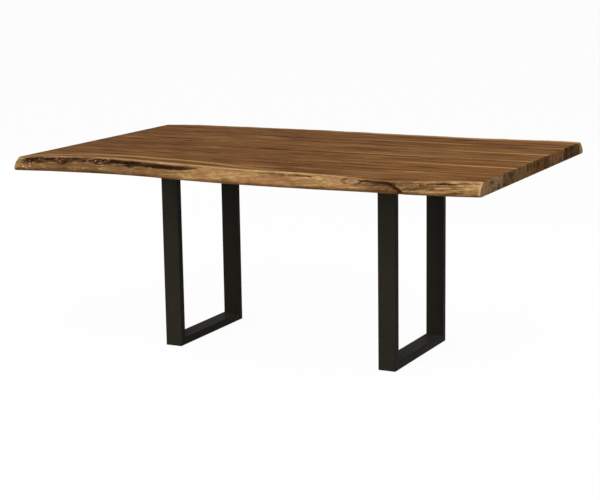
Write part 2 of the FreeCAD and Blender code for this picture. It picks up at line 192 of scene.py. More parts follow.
def make_plank_grain():
    """Wood as the tree grew it, worked out through the whole board and not only on its faces.

    Streaks, fibres and pores are noise stretched along X, under growth rings. Pale sapwood and a
    shade beside it lie along the rear joint, and sawn ends take a shade of their own.
    """
    inputs = {
        "Place": "Vector",
        "Heart": "Vector",
        "Tone": "Float",
        "Front Joint": "Float",
        "Rear Joint": "Float",
        "End Shade": "Color",
    }
    outputs = {"Colour": "Color", "Roughness": "Float", "Height": "Float"}
    tree, given = start_group("plank_grain", inputs, outputs)
    place = given["Place"]
    ring = growth_rings(tree, place, given["Heart"])
    broad = stretched_noise(tree, place, (1.3, 9.0, 9.0), 2.0)
    streak = stretched_noise(tree, place, (5.6, 24.0, 24.0), 3.0)
    band = stretched_noise(tree, place, (9.0, 75.0, 75.0), 3.0)
    fibre = stretched_noise(tree, place, (11.0, 420.0, 420.0), 2.0)
    pore = fade(tree, stretched_noise(tree, place, (42.0, 1350.0, 1350.0), 1.0), 0.60, 0.72)
    redness = stretched_noise(tree, place, (0.9, 7.0, 7.0), 2.0)
    dash = stretched_noise(tree, place, (2.8, 50.0, 50.0), 1.0)
    gleam = stretched_noise(tree, place, (3.0, 40.0, 40.0), 2.0)

    tone = work_out(tree, "MULTIPLY", broad, 0.30)
    tone = work_out(tree, "MULTIPLY_ADD", streak, 0.45, tone)
    tone = work_out(tree, "MULTIPLY_ADD", band, 0.25, tone)
    tone = work_out(tree, "ADD", tone, given["Tone"])
    wood = ramp(
        tree,
        tone,
        (0.34, colour(79, 46, 16)),
        (0.45, colour(114, 75, 34)),
        (0.55, colour(130, 89, 45)),
        (0.68, colour(166, 125, 75)),
    )

    across = part_of(tree, place, "Y")
    from_front = distance(tree, across, given["Front Joint"])
    from_rear = distance(tree, across, given["Rear Joint"])
    from_joint = work_out(tree, "MINIMUM", from_front, from_rear)
    to_right = part_of(tree, place_on_object(tree), "X")
    sapwood = work_out(tree, "MULTIPLY_ADD", broad, -0.040, work_out(tree, "ADD", from_rear, 0.014))
    sapwood = product(
        tree,
        fade(tree, sapwood, 0.006, 0.016, 0.8, 0.0),
        fade(tree, redness, 0.40, 0.54),
        fade(tree, to_right, -0.15, 0.55, 0.08, 0.9),
        fade(tree, gleam, 0.40, 0.54, 0.1, 1.0),
    )
    shaded = fade(tree, distance(tree, from_rear, 0.030), 0.004, 0.016, 0.8, 0.0)
    shaded = product(tree, shaded, fade(tree, streak, 0.46, 0.58))
    sawn = fade(tree, work_out(tree, "ABSOLUTE", facing(tree, "X")), 0.55, 0.9)
    stain = stretched_noise(tree, place, (2.0, 34.0, 26.0), 3.0, swirl=0.6)
    stain = product(tree, fade(tree, stain, 0.46, 0.64, 0.0, 0.85), sawn)
    seam = fade(tree, from_joint, 0.002, 0.009, 0.5, 0.0)
    seam = product(tree, seam, sawn, fade(tree, band, 0.40, 0.56))
    glue = fade(tree, from_joint, 0.0003, 0.0012, 0.75, 0.0)
    wood = lay_over(
        tree,
        wood,
        ("MIX", fade(tree, redness, 0.48, 0.75, 0.0, 0.4), colour(122, 73, 37)),
        ("MULTIPLY", fade(tree, dash, 0.62, 0.69, 0.0, 0.9), colour(134, 95, 55)),
        ("MULTIPLY", fade(tree, band, 0.31, 0.37, 0.75, 0.0), colour(142, 102, 62)),
        ("MIX", fade(tree, gleam, 0.61, 0.70, 0.0, 0.45), colour(178, 134, 82)),
        ("MIX", sapwood, colour(190, 150, 98)),
        ("MULTIPLY", shaded, colour(160, 126, 92)),
        ("MIX", product(tree, sawn, 0.7), given["End Shade"]),
        ("MULTIPLY", stain, colour(138, 116, 98)),
        ("MULTIPLY", product(tree, ring, 0.5), colour(168, 146, 122)),
        ("MULTIPLY", fade(tree, fibre, 0.35, 0.75, 0.0, 0.5), colour(190, 174, 156)),
        ("MULTIPLY", product(tree, pore, 0.6), colour(120, 96, 80)),
        ("MIX", seam, colour(158, 130, 100)),
        ("MULTIPLY", glue, colour(96, 76, 62)),
    )

    roughness = work_out(tree, "MULTIPLY_ADD", ring, 0.08, 0.44)
    roughness = work_out(tree, "MULTIPLY_ADD", fibre, 0.16, roughness)
    roughness = work_out(tree, "MULTIPLY_ADD", sawn, 0.14, roughness)
    height = work_out(tree, "MULTIPLY_ADD", fibre, 0.35, product(tree, ring, 0.30))
    height = work_out(tree, "SUBTRACT", height, product(tree, pore, 0.8))
    height = work_out(tree, "SUBTRACT", height, product(tree, glue, 1.2))
    add_node(tree, "NodeGroupOutput", {"Colour": wood, "Roughness": roughness, "Height": height})
    return tree


plank_grain = make_plank_grain()


def start_material(name):
    """A new material, its node tree and the place of each point on the object."""
    material = bpy.data.materials.new(name)
    material.use_nodes = True
    return material, material.node_tree, place_on_object(material.node_tree)


def start_plank_material(name, shift, heart, tone, joints, end_shade):
    """Starts one board's wood: its grain is moved along X by shift and turns round its own heart."""
    material, tree, place = start_material(name)
    moved = add_node(tree, "ShaderNodeMapping", {"Vector": place, "Location": (shift, 0.0, 0.0)})
    sockets = {
        "Place": moved.outputs[0],
        "Heart": (0.0, *heart),
        "Tone": tone,
        "Front Joint": joints[0],
        "Rear Joint": joints[1],
        "End Shade": end_shade,
    }
    grain = add_node(tree, "ShaderNodeGroup", sockets, node_tree=plank_grain)
    return material, moved.outputs[0], grain.outputs


def finish_material(material, shade, roughness, height, depth):
    """Leads colour, roughness and a bump of a given depth to the material's shader."""
    tree = material.node_tree
    shader = tree.nodes["Principled BSDF"]
    sockets = {"Height": height, "Strength": 1.0, "Distance": depth}
    bump = add_node(tree, "ShaderNodeBump", sockets).outputs[0]
    tree.links.new(shade, shader.inputs["Base Color"])
    tree.links.new(roughness, shader.inputs["Roughness"])
    tree.links.new(bump, shader.inputs["Normal"])
    return shader


def dress(material, *node_names):
    """Gives a finish to nodes whose solids stay as they are."""
    for node_name in node_names:
        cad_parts[node_name].data.materials[0] = material


# Each board: how far its grain is moved, its heart in Y and Z, how much paler it is, and its ends.
for node_name, shift, heart, tone, end_shade in (
    ("second_plank", 3.1, (-0.262, 0.668), 0.02, colour(134, 107, 72)),
    ("third_plank", 7.4, (-0.060, 0.842), -0.02, colour(152, 121, 80)),
    ("fourth_plank", 12.3, (0.118, 0.640), 0.01, colour(114, 83, 48)),
    ("fifth_plank", 17.9, (0.231, 0.815), -0.02, colour(152, 112, 77)),
):
    low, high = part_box(node_name)
    joints = (low.y, high.y)
    wood_name = f"{node_name}_wood"
    material, _, grain = start_plank_material(wood_name, shift, heart, tone, joints, end_shade)
    shader = finish_material(material, grain["Colour"], grain["Roughness"], grain["Height"], grain_bump)
    shader.inputs["Specular IOR Level"].default_value = oil_sheen
    dress(material, node_name)

# Front live-edge plank. An outer slab of the tree: straight at its glue joint, with the trunk's own
# surface left on its other side, peeled of bark but for a rough strip under the rim at the left.
# It is glued and dowelled to the second plank.
edge_reach = 0.150
waist_height = 0.030
foot_height = 0.010
toe_setback = 0.007
arris_round = 0.002
# The grid: its steps along X, round an end's arris, and in each piece of the section from joint to
# joint. Close steps reach in by rim_band on the top and by toe_width underneath.
steps_along = 720
arris_steps = 5
section_steps = (1, 26, 18, 18, 5, 4, 1)
rim_band = 0.130
toe_width = 0.012
softening_rounds = 4
# The trunk's forms in metres, over a face of one girth. A crack's painted shade is wider than it.
face_girth = 0.06
swell_height = 0.0018
slant_height = 0.0011
grit_height = 0.0006
wave_height = 0.0007
wave_length = 0.031
bark_depth = 0.0045
ridge_height = 0.0030
crumb_height = 0.0016
hollow_depth = 0.0065
knot_groove = 0.0012
crack_depth = 0.0050
crack_shade_spread = 2.6
trunk_bump = 0.0004
# A station gives its place as a share of the length, then how far the rim, the lower arris and the
# hollow between them stand in, as shares of edge_reach, and then, from 0 to 1, how barky, pale and
# finely lined the face is there, and how bright its rim.
front_stations = np.array([
    (-0.500, 0.36, 0.12, -0.06, 0.80, 0.16, 0.5, 0.40),
    (-0.470, 0.55, 0.17, 0.02, 1.00, 0.14, 0.5, 0.30),
    (-0.430, 0.76, 0.27, 0.10, 0.95, 0.14, 0.4, 0.30),
    (-0.383, 0.94, 0.32, 0.13, 0.70, 0.16, 0.3, 0.35),
    (-0.328, 0.97, 0.38, 0.14, 0.85, 0.16, 0.0, 0.55),
    (-0.262, 0.91, 0.40, 0.13, 0.60, 0.18, 0.0, 0.85),
    (-0.191, 0.76, 0.35, 0.06, 0.60, 0.22, 0.0, 1.00),
    (-0.109, 0.64, 0.21, 0.00, 0.00, 0.36, 0.1, 1.00),
    (-0.014, 0.49, 0.12, -0.03, 0.00, 0.40, 0.1, 1.00),
    (0.096, 0.44, 0.10, -0.03, 0.00, 0.41, 0.1, 1.00),
    (0.202, 0.38, 0.14, -0.02, 0.05, 0.38, 0.2, 0.80),
    (0.265, 0.22, 0.19, -0.02, 0.15, 0.34, 0.3, 0.45),
    (0.300, 0.06, 0.20, 0.00, 0.20, 0.28, 0.4, 0.30),
    (0.335, 0.00, 0.21, 0.00, 0.25, 0.24, 0.5, 0.25),
    (0.380, 0.14, 0.24, 0.00, 0.10, 0.28, 0.7, 0.35),
    (0.443, 0.52, 0.33, -0.04, 0.00, 0.38, 1.0, 0.80),
    (0.500, 0.66, 0.47, -0.04, 0.00, 0.42, 1.0, 1.00),
])


def follow(stations, along):
    """A cubic curve through the stations, whose slope at each is the mean of the chords beside it."""
    place, values = stations[:, 0], stations[:, 1:]
    chord = np.diff(values, axis=0) / np.diff(place)[:, None]
    slope = np.vstack([chord[:1], (chord[1:] + chord[:-1]) / 2, chord[-1:]])
    before = np.clip(np.searchsorted(place, along) - 1, 0, len(place) - 2)
    after = before + 1
    gap = (place[after] - place[before])[:, None]
    t = (along - place[before])[:, None] / gap
    rise = t * t * (3 - 2 * t)
    leave, arrive = t * (1 - t) ** 2, t * t * (t - 1)
    bend = gap * (leave * slope[before] + arrive * slope[after])
    curve = values[before] + rise * (values[after] - values[before]) + bend
    return curve.T


def lumps(along, across, cell_along, cell_across, seed):
    """Smooth heights from -1 to 1: seeded values at the corners of a grid of cells, eased between."""
    cells = 256
    values = np.random.default_rng(seed).uniform(-1, 1, (cells, cells))
    u, v = along / cell_along, across / cell_across
    i, j = np.floor(u).astype(int), np.floor(v).astype(int)
    s, t = u - i, v - j
    s, t = s * s * (3 - 2 * s), t * t * (3 - 2 * t)
    i, next_i, j, next_j = i % cells, (i + 1) % cells, j % cells, (j + 1) % cells
    near = values[i, j] * (1 - s) + values[next_i, j] * s
    far = values[i, next_j] * (1 - s) + values[next_i, next_j] * s
    return near * (1 - t) + far * t


def cleft(along, down, stops, spread=1.0):
    """A mask of a split, from 1 along it to 0 at its lips: stops give place, middle and half height.

    It is 1.8 times what the distance from the middle, in half heights, leaves of 1, cut to 0 to 1.
    """
    place, middle, half = np.array(stops).T
    off = np.abs(down - np.interp(along, place, middle))
    return np.clip(1.8 - 1.8 * off / np.maximum(np.interp(along, place, half * spread), 1e-6), 0, 1)


def places_along(half):
    """Places along X: even steps, then closer ones round each end's arris, as a quarter turn's sine."""
    turns = np.sin(np.linspace(0, math.pi / 2, arris_steps))
    ends = half - arris_round + arris_round * turns
    middle = np.linspace(-half + arris_round, half - arris_round, steps_along)[1:-1]
    return np.concatenate([-ends[::-1], middle, ends])


def section_grid(rim, waist, foot, to_joint, thickness):
    """Sections of the plank, one to a row: how far in from the outside, and how high, each point is.

    A section runs in straight pieces through joint, rim, waist, lower arris and toe. Averaging each
    point with its neighbours, which count a quarter each, softens the corners. down goes from 0 at
    the rim to 1 at the lower arris, and live is 1 on the trunk's face alone.
    """
    joint = np.full_like(rim, to_joint)
    corners = [
        (joint, thickness),
        (rim + rim_band, thickness),
        (rim, thickness),
        (waist, waist_height),
        (foot, foot_height),
        (foot + toe_setback, 0.0),
        (foot + toe_setback + toe_width, 0.0),
        (joint, 0.0),
    ]
    inward, height = [], []
    for (in_from, up_from), (in_to, up_to), count in zip(corners, corners[1:], section_steps):
        t = np.arange(count) / count
        inward.append(in_from[:, None] * (1 - t) + in_to[:, None] * t)
        height.append(np.broadcast_to(up_from * (1 - t) + up_to * t, (len(rim), count)))
    inward = np.hstack([*inward, joint[:, None]])
    height = np.hstack([*height, np.zeros((len(rim), 1))])
    for _ in range(softening_rounds):
        inward[:, 2:-2] = (inward[:, 1:-3] + 2 * inward[:, 2:-2] + inward[:, 3:-1]) / 4
        height[:, 2:-2] = (height[:, 1:-3] + 2 * height[:, 2:-2] + height[:, 3:-1]) / 4

    columns = inward.shape[1]
    face_start, face_end = sum(section_steps[:2]), sum(section_steps[:5])
    upper, lower = section_steps[2], section_steps[3]
    down = np.concatenate([
        np.zeros(face_start),
        np.arange(upper) / upper * 0.5,
        0.5 + np.arange(lower) / lower * 0.5,
        np.ones(columns - face_start - upper - lower),
    ])
    live = np.zeros(columns)
    live[face_start - 1:face_end] = 1.0
    live = np.convolve(np.pad(live, 2, mode="edge"), [0.1, 0.2, 0.4, 0.2, 0.1], mode="valid")
    return inward, height, down[None, :], live[None, :]


def knot_forms(along, down, uneven, knots):
    """The knots' hills, and masks of their blush, their rings and the dark line round them.

    r is the distance from a knot's middle in half sizes, made uneven. A hill is exp(-r squared), with
    a wave of r on it that turns with the angle, so that its rings close or wind in a spiral.
    """
    hill, blushed, whorl, outline = (np.zeros_like(along) for _ in range(4))
    for middle, size, rise, rings, twist, blush in knots:
        aside, below = (along - middle[0]) / size[0], (down - middle[1]) / size[1]
        radius = np.hypot(aside, below) * uneven
        wave = np.cos(2 * math.pi * rings * radius + twist * np.arctan2(below, aside))
        hill = hill + rise * np.exp(-radius ** 2) * (0.7 + 0.3 * wave)
        within = np.clip(2.2 - 1.8 * radius, 0, 1)
        blushed = np.maximum(blushed, within * blush)
        whorl = np.maximum(whorl, within * (0.5 - 0.5 * wave) * (1 - 0.5 * blush))
        line = np.exp(-((radius - 1.12) / 0.18) ** 2)
        outline = np.maximum(outline, line * (0.35 + 0.65 * blush))
    return hill, blushed, whorl, outline


def trunk_relief(xs, down, live, bark, hollow, knots, cracks, seed):
    """How far the trunk's face stands out from its section, and the masks of what makes it do so.

    Ripples are lumps drawn out along the grain and a slanting wave. Bark is a strip that starts under
    the rim and ends short of the sawn ends, sunk, with ridges that are 1 less twice the size of lumps.
    Hollow and cracks are clefts. All of it is less at the rim.
    """
    metres_down = down * face_girth

    def heights(cell_along, cell_across, draw):
        """Lumps over the face, in cells so many metres long and high, from a draw of their own."""
        return lumps(xs, metres_down, cell_along, cell_across, seed + draw)

    slant = xs + 0.9 * metres_down
    wave = np.sin(2 * math.pi * slant / wave_length + 3.0 * heights(0.07, 0.03, 3))
    ripple = swell_height * heights(0.085, 0.026, 0)
    ripple = ripple + slant_height * lumps(slant, metres_down, 0.026, 0.011, seed + 1)
    ripple = ripple + grit_height * heights(0.009, 0.006, 2)
    ripple = ripple + wave_height * wave * np.clip(heights(0.16, 0.08, 4), 0, 1)

    from_end = xs.max() - np.abs(xs)
    lowest = 0.58 + 0.14 * lumps(xs, 0 * down, 0.05, 1.0, seed + 5)
    strip = bark * np.clip((down - 0.06) / 0.08, 0, 1) * np.clip((lowest - down) / 0.10, 0, 1)
    strip = strip * np.clip(from_end / 0.030 - 0.3, 0, 1)
    ridges = 1 - 2 * np.abs(heights(0.024, 0.007, 6))
    sunk = bark_depth - ridge_height * ridges - crumb_height * heights(0.007, 0.004, 7)
    ragged = down + 0.03 * heights(0.014, 0.010, 8)
    lens = cleft(xs, ragged, hollow)
    uneven = 1 + 0.15 * heights(0.025, 0.016, 12)
    hill, blushed, whorl, outline = knot_forms(xs, ragged, uneven, knots)
    outline = outline * np.clip(0.9 + 0.6 * heights(0.020, 0.012, 11), 0, 1)
    valley = np.max([cleft(xs, ragged, crack) for crack in cracks], axis=0)
    # Painted shade round each crack: a wider, softer mask than the crack's own.
    crack_shade = np.max([cleft(xs, ragged, crack, crack_shade_spread) for crack in cracks], axis=0)

    relief = ripple - strip * sunk - hollow_depth * lens + hill
    relief = (relief - knot_groove * outline - crack_depth * valley) * live
    relief = relief * np.clip(0.35 + down / 0.12, 0, 1)
    return relief, {
        "bark": strip,
        "rough": np.clip(bark, 0, 1),
        # Painted shade in recesses: darker the deeper the face is sunk.
        "recess_shade": np.clip(-relief / bark_depth, 0, 1),
        "lens": lens,
        "crack": valley * live,
        "crack_shade": crack_shade * live,
        "knot": blushed,
        "whorl": whorl,
        "outline": outline * live,
    }


def pale_lines(xs, inset, down, bright, second_line, seed):
    """Masks of pale wood and a painted highlight: bells of the distance in from the rim on the top, and
    down from it.

    The first line on the top lies at the rim, the second further in. The last lies on the face: pale
    wood at the rim with a painted highlight on its arris, and a painted highlight alone at the sawn
    ends.
    """
    on_top = down == 0
    inset = np.clip(inset, 0, None) * on_top
    wobble = lumps(xs, 0 * down, 0.11, 1.0, seed + 9)
    first = np.exp(-(inset / (0.009 + 0.004 * wobble)) ** 2) * bright
    middle, half_width, strength = second_line
    second = np.exp(-((inset - middle - 0.006 * wobble) / half_width) ** 2) * strength
    sap = np.maximum(first, second) * on_top
    patchy = 0.75 + 0.25 * lumps(xs, down * face_girth, 0.03, 0.02, seed + 10)
    at_rim = np.exp(-(down / 0.065) ** 2) * patchy
    from_end = xs.max() - np.abs(xs)
    # The strip at the sawn ends is a painted highlight on their arrises.
    at_ends = 0.8 * np.exp(-(from_end / 0.006) ** 2)
    return sap, np.maximum(at_rim, at_ends) * bright


def skin_mesh(name, points, side, masks):
    """A grid of points, one section to a row, closed by four-sided faces and a face at each end."""
    rows, columns = points.shape[:2]
    corner = np.arange(rows * columns).reshape(rows, columns)
    right = np.roll(corner, -1, axis=1)
    skin = np.stack([corner[:-1], right[:-1], right[1:], corner[1:]], axis=-1).reshape(-1, 4)
    if side > 0:
        skin = skin[:, ::-1]
    caps = [corner[0][::side], corner[-1][::-side]]
    mesh = bpy.data.meshes.new(name)
    mesh.from_pydata(points.reshape(-1, 3), [], [*skin.tolist(), *[cap.tolist() for cap in caps]])
    for label, values in masks.items():
        values = np.broadcast_to(values, (rows, columns)).astype(np.float32).ravel()
        mesh.attributes.new(label, "FLOAT", "POINT").data.foreach_set("value", values)
    mesh.polygons.foreach_set("use_smooth", np.ones(len(mesh.polygons), dtype=bool))
    mesh.set_sharp_from_angle(angle=math.radians(50))
    return mesh


def live_edge_skin(name, side, stations, hollow, knots, cracks, pale_line, seed):
    """The whole skin of an outer plank as a grid: along X, and round its section from joint to joint.

    The trunk's relief moves each point along its section's normal, which is the section's slope turned
    by a quarter. Round arrises at the ends draw the skin in by the height of a circle there.
    """
    low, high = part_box(name)
    joint, outside = (high.y, cad_low.y) if side < 0 else (low.y, cad_high.y)
    half, thickness = high.x, high.z - low.z
    x = places_along(half)
    along = x / (2 * half)
    rim, foot, waist, bark, pale, lined, bright = follow(stations, along)
    rim, foot = rim * edge_reach, foot * edge_reach
    waist = (rim + foot) / 2 + waist * edge_reach
    bark, pale, lined, bright = (values[:, None] for values in (bark, pale, lined, bright))
    inward, height, down, live = section_grid(rim, waist, foot, abs(outside - joint), thickness)
    xs = np.broadcast_to(x[:, None], inward.shape)

    relief, masks = trunk_relief(xs, down, live, bark, hollow, knots, cracks, seed)
    slope_in, slope_up = np.gradient(inward, axis=1), np.gradient(height, axis=1)
    length = np.hypot(slope_in, slope_up)
    inward = inward + relief * slope_up / length
    height = height - relief * slope_in / length
    drop = np.clip(np.abs(x) - half + arris_round, 0, arris_round)
    drop = (arris_round - np.sqrt(arris_round ** 2 - drop ** 2))[:, None]
    inward = inward + drop * live
    height = np.clip(height, drop, thickness - drop)

    second_line = follow(pale_line, along)[:, :, None]
    sap, rim_line = pale_lines(xs, inward - rim[:, None], down, bright, second_line, seed)
    masks.update(live=live, down=down, pale=pale, lined=lined, sap=sap, rim=rim_line * live)
    points = np.stack([xs, outside - side * inward, low.z + height], axis=-1)
    piece = bpy.data.objects.new(f"{name}_skin", skin_mesh(name, points, side, masks))
    bpy.context.scene.collection.objects.link(piece)
    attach(piece, "root")
    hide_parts(name)
    return piece


trunk_masks = (
    "down", "bark", "pale", "lined", "rough", "recess_shade", "rim", "lens", "crack", "crack_shade", "knot",
    "whorl", "outline",
)


def make_trunk_face():
    """The trunk's own surface: pale sapwood with streaks and threads, and what bark is left on it.

    Each mask is an input from 0 to 1. Noise drawn out along X makes the wood, and over it lie warm
    patches, threads, mottle, knots, crust, flecks, clefts with painted shade in and round them,
    painted shade at the toe and the pale rim with its painted highlight, in that order.
    """
    inputs = {"Place": "Vector", **{label: "Float" for label in trunk_masks}}
    tree, given = start_group("trunk_face", inputs, {"Colour": "Color", "Height": "Float"})
    place = given["Place"]

    def share_of(label, most):
        """One of the masks, brought down to a share of its strength."""
        return product(tree, given[label], most)

    streak = stretched_noise(tree, place, (3.6, 50.0, 120.0), 3.0, turn=0.10)
    flame = stretched_noise(tree, place, (5.5, 22.0, 34.0), 2.0, turn=-0.35, swirl=0.7)
    warmth = stretched_noise(tree, place, (9.0, 16.0, 26.0), 2.0, turn=-0.25, swirl=0.6)
    thread = stretched_noise(tree, place, (8.0, 60.0, 270.0), 2.0, turn=0.04)
    fine = stretched_noise(tree, place, (45.0, 220.0, 480.0), 2.0)
    grit = stretched_noise(tree, place, (10.0, 50.0, 110.0), 3.0, turn=0.05, swirl=0.3)
    speck = stretched_noise(tree, place, (62.0, 120.0, 170.0), 2.0)

    tone = work_out(tree, "MULTIPLY_ADD", flame, 0.42, product(tree, streak, 0.58))
    tone = work_out(tree, "MULTIPLY_ADD", given["pale"], 0.30, tone)
    tone = work_out(tree, "MULTIPLY_ADD", given["down"], 0.07, tone)
    trunk = ramp(
        tree,
        tone,
        (0.49, colour(88, 62, 38)),
        (0.60, colour(118, 87, 54)),
        (0.71, colour(148, 114, 73)),
        (0.85, colour(186, 153, 107)),
    )
    mottle = ramp(
        tree,
        grit,
        (0.36, colour(62, 42, 25)),
        (0.50, colour(96, 70, 41)),
        (0.66, colour(128, 99, 61)),
    )
    crust = ramp(
        tree,
        grit,
        (0.38, colour(38, 24, 15)),
        (0.52, colour(64, 42, 26)),
        (0.66, colour(116, 84, 54)),
    )
    # The hollow's near-black colour is painted shade in its recess.
    hollow = ramp(tree, grit, (0.40, colour(34, 21, 13)), (0.60, colour(68, 42, 28)))

    dark_thread = product(tree, fade(tree, thread, 0.52, 0.64, 0.0, 0.85), given["lined"])
    pale_thread = product(tree, fade(tree, thread, 0.36, 0.46, 0.5, 0.0), given["lined"])
    torn = work_out(tree, "MULTIPLY_ADD", grit, 0.9, work_out(tree, "SUBTRACT", given["bark"], 0.45))
    fleck = work_out(tree, "MULTIPLY_ADD", given["bark"], 0.05, speck)
    fleck = fade(tree, fleck, 0.62, 0.68, 0.0, 0.85)
    fleck = product(tree, fleck, given["rough"], fade(tree, flame, 0.46, 0.58))
    # Painted shade at the toe, where the face curves under.
    toe = fade(tree, given["down"], 0.88, 1.0, 0.0, 0.55)
    trunk = lay_over(
        tree,
        trunk,
        ("MIX", fade(tree, warmth, 0.50, 0.64, 0.0, 0.55), colour(136, 93, 61)),
        ("MIX", fade(tree, warmth, 0.36, 0.47, 0.50, 0.0), colour(153, 122, 74)),
        ("MULTIPLY", fade(tree, fine, 0.45, 0.75, 0.0, 0.6), colour(150, 124, 100)),
        ("MULTIPLY", dark_thread, colour(136, 108, 82)),
        ("MIX", pale_thread, colour(192, 156, 108)),
        ("MIX", share_of("rough", 0.65), mottle),
        ("MIX", share_of("knot", 0.6), colour(158, 120, 88)),
        ("MULTIPLY", share_of("whorl", 0.7), colour(134, 104, 80)),
        ("MIX", share_of("outline", 0.9), colour(70, 45, 28)),
        ("MIX", fade(tree, torn, 0.10, 0.55), crust),
        ("MIX", fleck, colour(200, 166, 128)),
        # Painted shade: the sunk hollow is painted near black.
        ("MIX", share_of("lens", 0.94), hollow),
        # Painted shade in the recesses of bark, hollow and cracks.
        ("MULTIPLY", share_of("recess_shade", 0.6), colour(128, 98, 74)),
        # Painted shade: a darker brown round each crack.
        ("MULTIPLY", share_of("crack_shade", 0.55), colour(168, 134, 108)),
        # The cracks are painted near black: painted shade in their grooves.
        ("MIX", share_of("crack", 0.95), colour(52, 32, 20)),
        # Painted shade: darker at the toe.
        ("MULTIPLY", toe, colour(150, 118, 92)),
        # The pale rim: pale wood with a painted highlight along its arris, and a painted highlight at
        # the ends.
        ("MIX", share_of("rim", 0.8), colour(196, 159, 111)),
    )
    ruggedness = work_out(tree, "MULTIPLY_ADD", grit, 1.4, fine)
    add_node(tree, "NodeGroupOutput", {"Colour": trunk, "Height": ruggedness})
    return tree


trunk_face = make_trunk_face()


def live_edge_wood(name, shift, heart, tone, joint, end_shade, bark_line):
    """Oiled board on the flats, and the trunk's own surface on the live face.

    On the sawn ends a pale rind lies beside the live face. bark_line gives that face's Y there: its
    value at the middle of the table and its slope along X.
    """
    material, place, grain = start_plank_material(name, shift, heart, tone, (joint, joint), end_shade)
    tree = material.node_tree

    def mask(label):
        """Reads one of the masks that the skin carries."""
        return add_node(tree, "ShaderNodeAttribute", {}, attribute_name=label).outputs["Fac"]

    sockets = {"Place": place, **{label: mask(label) for label in trunk_masks}}
    trunk = add_node(tree, "ShaderNodeGroup", sockets, node_tree=trunk_face).outputs
    unmoved = place_on_object(tree)
    middle, slope = bark_line
    bark_place = work_out(tree, "MULTIPLY_ADD", part_of(tree, unmoved, "X"), slope, middle)
    from_bark = distance(tree, part_of(tree, unmoved, "Y"), bark_place)
    sawn = fade(tree, work_out(tree, "ABSOLUTE", facing(tree, "X")), 0.85, 0.97)
    rind = product(tree, fade(tree, from_bark, 0.022, 0.034, 0.8, 0.0), sawn)
    live = product(tree, mask("live"), work_out(tree, "SUBTRACT", 1.0, sawn))
    shade = lay_over(
        tree,
        grain["Colour"],
        ("MIX", product(tree, mask("sap"), 0.7), colour(182, 142, 94)),
        ("MIX", rind, colour(176, 136, 96)),
        ("MIX", live, trunk["Colour"]),
    )
    roughness = work_out(tree, "MULTIPLY_ADD", live, 0.14, grain["Roughness"])
    ruggedness = product(tree, trunk["Height"], live)
    height = work_out(tree, "MULTIPLY_ADD", ruggedness, 1.6, grain["Height"])
    shader = finish_material(material, shade, roughness, height, trunk_bump)
    shader.inputs["Specular IOR Level"].default_value = oil_sheen
    return material


# A knot has its middle and half sizes, along in metres and down as a share of the face, then how
# far it rises, its rings, its twist and how pink it is. Clefts have places along, middles and half
# heights down.
front_knots = [
    ((0.470, 0.34), (0.031, 0.28), 0.0065, 1.5, 0, 1.0),
    ((0.690, 0.36), (0.034, 0.27), 0.0040, 2.9, 2, 0.2),
    ((0.740, 0.48), (0.018, 0.16), 0.0015, 2.0, 1, 0.2),
]
front_hollow = [
    (-0.590, 0.27, 0.00),
    (-0.480, 0.29, 0.17),
    (-0.370, 0.29, 0.25),
    (-0.290, 0.28, 0.28),
    (-0.220, 0.26, 0.21),
    (-0.150, 0.24, 0.00),
]
front_cracks = [
    [
        (0.500, 0.24, 0.00),
        (0.530, 0.20, 0.09),
        (0.556, 0.15, 0.18),
        (0.592, 0.17, 0.25),
        (0.612, 0.32, 0.28),
        (0.628, 0.58, 0.30),
        (0.642, 0.84, 0.27),
        (0.656, 0.99, 0.00),
    ],
    [(0.085, 0.17, 0.00), (0.120, 0.17, 0.03), (0.165, 0.20, 0.03), (0.190, 0.20, 0.00)],
    [(0.240, 0.20, 0.00), (0.262, 0.20, 0.03), (0.305, 0.23, 0.04), (0.320, 0.23, 0.00)],
    [(0.735, 0.22, 0.00), (0.760, 0.20, 0.03), (0.800, 0.24, 0.03), (0.830, 0.25, 0.00)],
]
# The second pale line on the top: place along, distance in from the rim, half width and strength.
front_pale_line = np.array([
    (-0.500, 0.035, 0.020, 0.50),
    (-0.400, 0.050, 0.020, 0.60),
    (-0.280, 0.070, 0.013, 0.85),
    (-0.150, 0.082, 0.011, 0.95),
    (-0.050, 0.066, 0.011, 0.85),
    (0.030, 0.046, 0.010, 0.55),
    (0.110, 0.030, 0.010, 0.00),
    (0.500, 0.030, 0.010, 0.00),
])
front_plank = live_edge_skin(
    "front_live_edge_plank",
    side=-1,
    stations=front_stations,
    hollow=front_hollow,
    knots=front_knots,
    cracks=front_cracks,
    pale_line=front_pale_line,
    seed=11,
)
front_plank.data.materials.append(live_edge_wood(
    "front_live_edge_wood",
    shift=0.0,
    heart=(-0.395, 0.655),
    tone=0.0,
    joint=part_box("front_live_edge_plank")[1].y,
    end_shade=colour(192, 163, 121),
    bark_line=(-0.5565, 0.0345),
))

